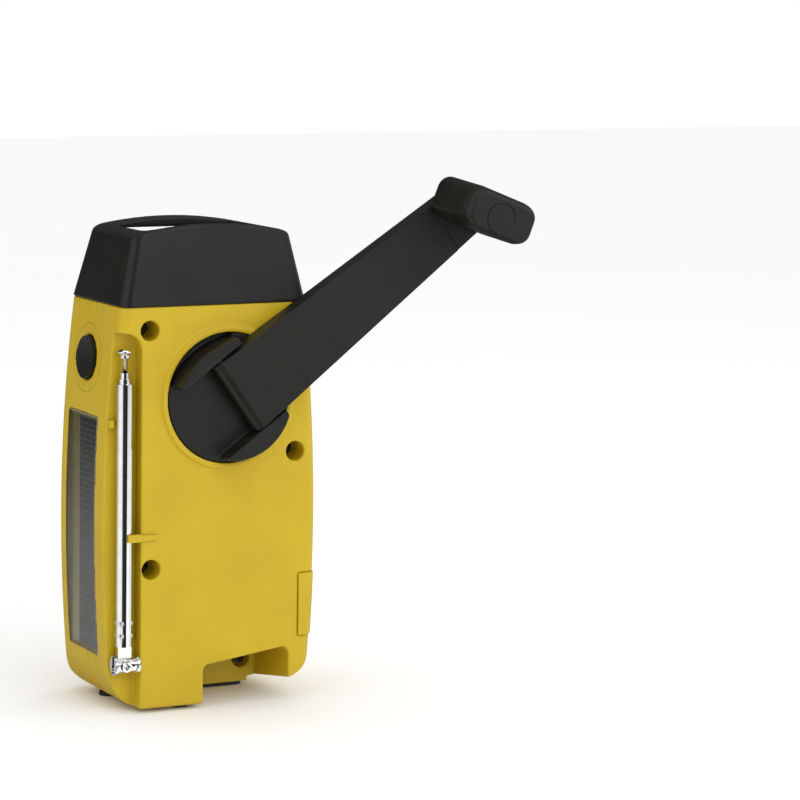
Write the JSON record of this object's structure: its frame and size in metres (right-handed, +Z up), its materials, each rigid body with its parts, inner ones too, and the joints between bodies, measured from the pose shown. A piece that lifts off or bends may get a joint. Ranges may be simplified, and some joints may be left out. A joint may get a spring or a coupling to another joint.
{
  "type": "hand-crank emergency radio",
  "caption": "Upright hand-crank emergency radio with fold-out crank and geared dynamo, telescopic antenna, solar window, torch, dial and charging sockets.",
  "frame": {"origin": "on the plane the rubber foot pad rests on, under the middle of the case", "axes": "+Z up along the case, +Y out of the rear face that carries the crank, -Y out of the speaker face, +X towards the side with the solar window"},
  "size_m": [0.1737, 0.1038, 0.2199],
  "materials": {
    "yellow_case": "satin moulded plastic",
    "black_plastic": "fine satin moulded plastic",
    "rubber": "matt",
    "steel": "machined",
    "dark_steel": "black oxide",
    "chrome": "polished",
    "brass": "machined",
    "copper": "enamelled winding wire",
    "gear_plastic": "moulded",
    "magnet": "sintered",
    "clear": "clear moulded plastic",
    "solar": "dark silicon strips under resin",
    "board": "solder mask",
    "cell": "printed sleeve",
    "paper": "pressed cone",
    "dial": "printed plate",
    "needle": "moulded",
    "lamp": "domed resin",
    "mirror": "metallised bowls"
  },
  "bodies": {
    "case": {"rear_shell": "yellow_case", "front_shell": "yellow_case", "top_cap": "black_plastic", "case_screws": "dark_steel", "foot_pad": "rubber", "crank_bush": "brass", "idler_axle": "steel", "stator_coils": "copper", "dynamo_can": "steel", "gearbox_front_plate": "steel", "gearbox_rear_plate": "steel", "gearbox_screws": "steel", "antenna_bush": "brass", "antenna_clips": "yellow_case", "volume_pot": "steel", "tuning_capacitor": "gear_plastic", "solar_window": "clear", "solar_cell": "solar", "port_cover_pin": "steel", "usb_a_socket": "steel", "micro_usb_socket": "steel", "main_board": "board", "battery_cell": "cell", "battery_contacts": "steel", "speaker_grille": "black_plastic", "speaker_frame": "dark_steel", "speaker_cone": "paper", "dial_window": "clear", "dial_scale": "dial", "torch_lens": "clear", "torch_reflector": "mirror", "torch_lamps": "lamp", "ferrite_rod": "magnet"},
    "crank": {"crank_hub": "black_plastic", "crank_shaft": "steel", "shaft_clip": "steel", "drive_gear": "brass", "arm_hinge_pin": "steel"},
    "idler": {"idler_gear": "gear_plastic"},
    "rotor": {"rotor_shaft": "steel", "rotor_magnet": "magnet"},
    "arm": {"crank_arm": "black_plastic", "arm_cover": "black_plastic", "knob_axle": "steel"},
    "knob": {"crank_knob": "black_plastic", "knob_cap": "black_plastic"},
    "antenna_base": {"antenna_knuckle": "chrome", "antenna_pivot_screw": "chrome"},
    "antenna_1": {"antenna_tube": "chrome"},
    "antenna_2": {"antenna_second": "chrome"},
    "antenna_3": {"antenna_third": "chrome"},
    "antenna_4": {"antenna_tip": "chrome"},
    "volume": {"volume_knob": "black_plastic"},
    "tuning": {"tuning_knob": "black_plastic"},
    "needle": {"dial_pointer": "needle"},
    "door": {"battery_door": "yellow_case"},
    "cover": {"port_cover": "rubber"},
    "torch_push": {"torch_button": "black_plastic"},
    "band": {"band_switch": "black_plastic"}
  },
  "joints": [
    {"name": "crank_spin", "type": "hinge", "parent": "case", "child": "crank", "pos_m": [-0.0054, 0.0193, 0.1299], "axis": [0, 1, 0], "continuous": true},
    {"name": "idler_spin", "type": "hinge", "parent": "case", "child": "idler", "pos_m": [0.01157, 0.006, 0.11293], "axis": [0, 1, 0], "continuous": true},
    {"name": "rotor_spin", "type": "hinge", "parent": "case", "child": "rotor", "pos_m": [0.01157, 0.006, 0.09733], "axis": [0, 1, 0], "continuous": true},
    {"name": "arm_fold", "type": "hinge", "parent": "crank", "child": "arm", "pos_m": [-0.00865, 0.0307, 0.13223], "axis": [-0.5835, 0, -0.8121], "range_deg": [0, 180]},
    {"name": "knob_spin", "type": "hinge", "parent": "arm", "child": "knob", "pos_m": [-0.10894, 0.0448, 0.2043], "axis": [0, 1, 0], "continuous": true},
    {"name": "antenna_swivel", "type": "hinge", "parent": "case", "child": "antenna_base", "pos_m": [0.033, 0.0218, 0.0206], "axis": [1, 0, 0], "range_deg": [-90, 0]},
    {"name": "antenna_tilt", "type": "hinge", "parent": "antenna_base", "child": "antenna_1", "pos_m": [0.0392, 0.0218, 0.0206], "axis": [0, 1, 0], "range_deg": [0, 90]},
    {"name": "antenna_slide_2", "type": "slide", "parent": "antenna_1", "child": "antenna_2", "axis": [0, 0, 1], "range_m": [0, 0.098]},
    {"name": "antenna_slide_3", "type": "slide", "parent": "antenna_2", "child": "antenna_3", "axis": [0, 0, 1], "range_m": [0, 0.098]},
    {"name": "antenna_slide_4", "type": "slide", "parent": "antenna_3", "child": "antenna_4", "axis": [0, 0, 1], "range_m": [0, 0.098]},
    {"name": "volume_turn", "type": "hinge", "parent": "case", "child": "volume", "pos_m": [0.04383, -0.0074, 0.1451], "axis": [0.9958, 0, 0.0921], "range_deg": [0, 270]},
    {"name": "tuning_turn", "type": "hinge", "parent": "case", "child": "tuning", "pos_m": [-0.04679, -0.0166, 0.059], "axis": [-0.9997, 0, -0.0235], "range_deg": [-135, 135]},
    {"name": "dial_slide", "type": "slide", "parent": "case", "child": "needle", "axis": [1, 0, 0], "range_m": [-0.019, 0.019]},
    {"name": "battery_door_slide", "type": "slide", "parent": "case", "child": "door", "axis": [0, 1, 0], "range_m": [0, 0.02]},
    {"name": "port_cover_hinge", "type": "hinge", "parent": "case", "child": "cover", "pos_m": [-0.047, 0.0026, 0.0625], "axis": [0, 1, 0], "range_deg": [-150, 0]},
    {"name": "torch_press", "type": "slide", "parent": "case", "child": "torch_push", "axis": [0, 1, 0], "range_m": [0, 0.001]},
    {"name": "band_slide", "type": "slide", "parent": "case", "child": "band", "axis": [1, 0, 0], "range_m": [-0.004, 0.004]}
  ],
  "couplings": [
    {"joint": "idler_spin", "follows": "crank_spin", "ratio": -4},
    {"joint": "rotor_spin", "follows": "crank_spin", "ratio": 13.333},
    {"joint": "antenna_slide_2", "follows": "antenna_swivel", "m_per_rad": -0.062389},
    {"joint": "antenna_slide_3", "follows": "antenna_swivel", "m_per_rad": -0.062389},
    {"joint": "antenna_slide_4", "follows": "antenna_swivel", "m_per_rad": -0.062389},
    {"joint": "dial_slide", "follows": "tuning_turn", "m_per_rad": 0.0080639}
  ]
}
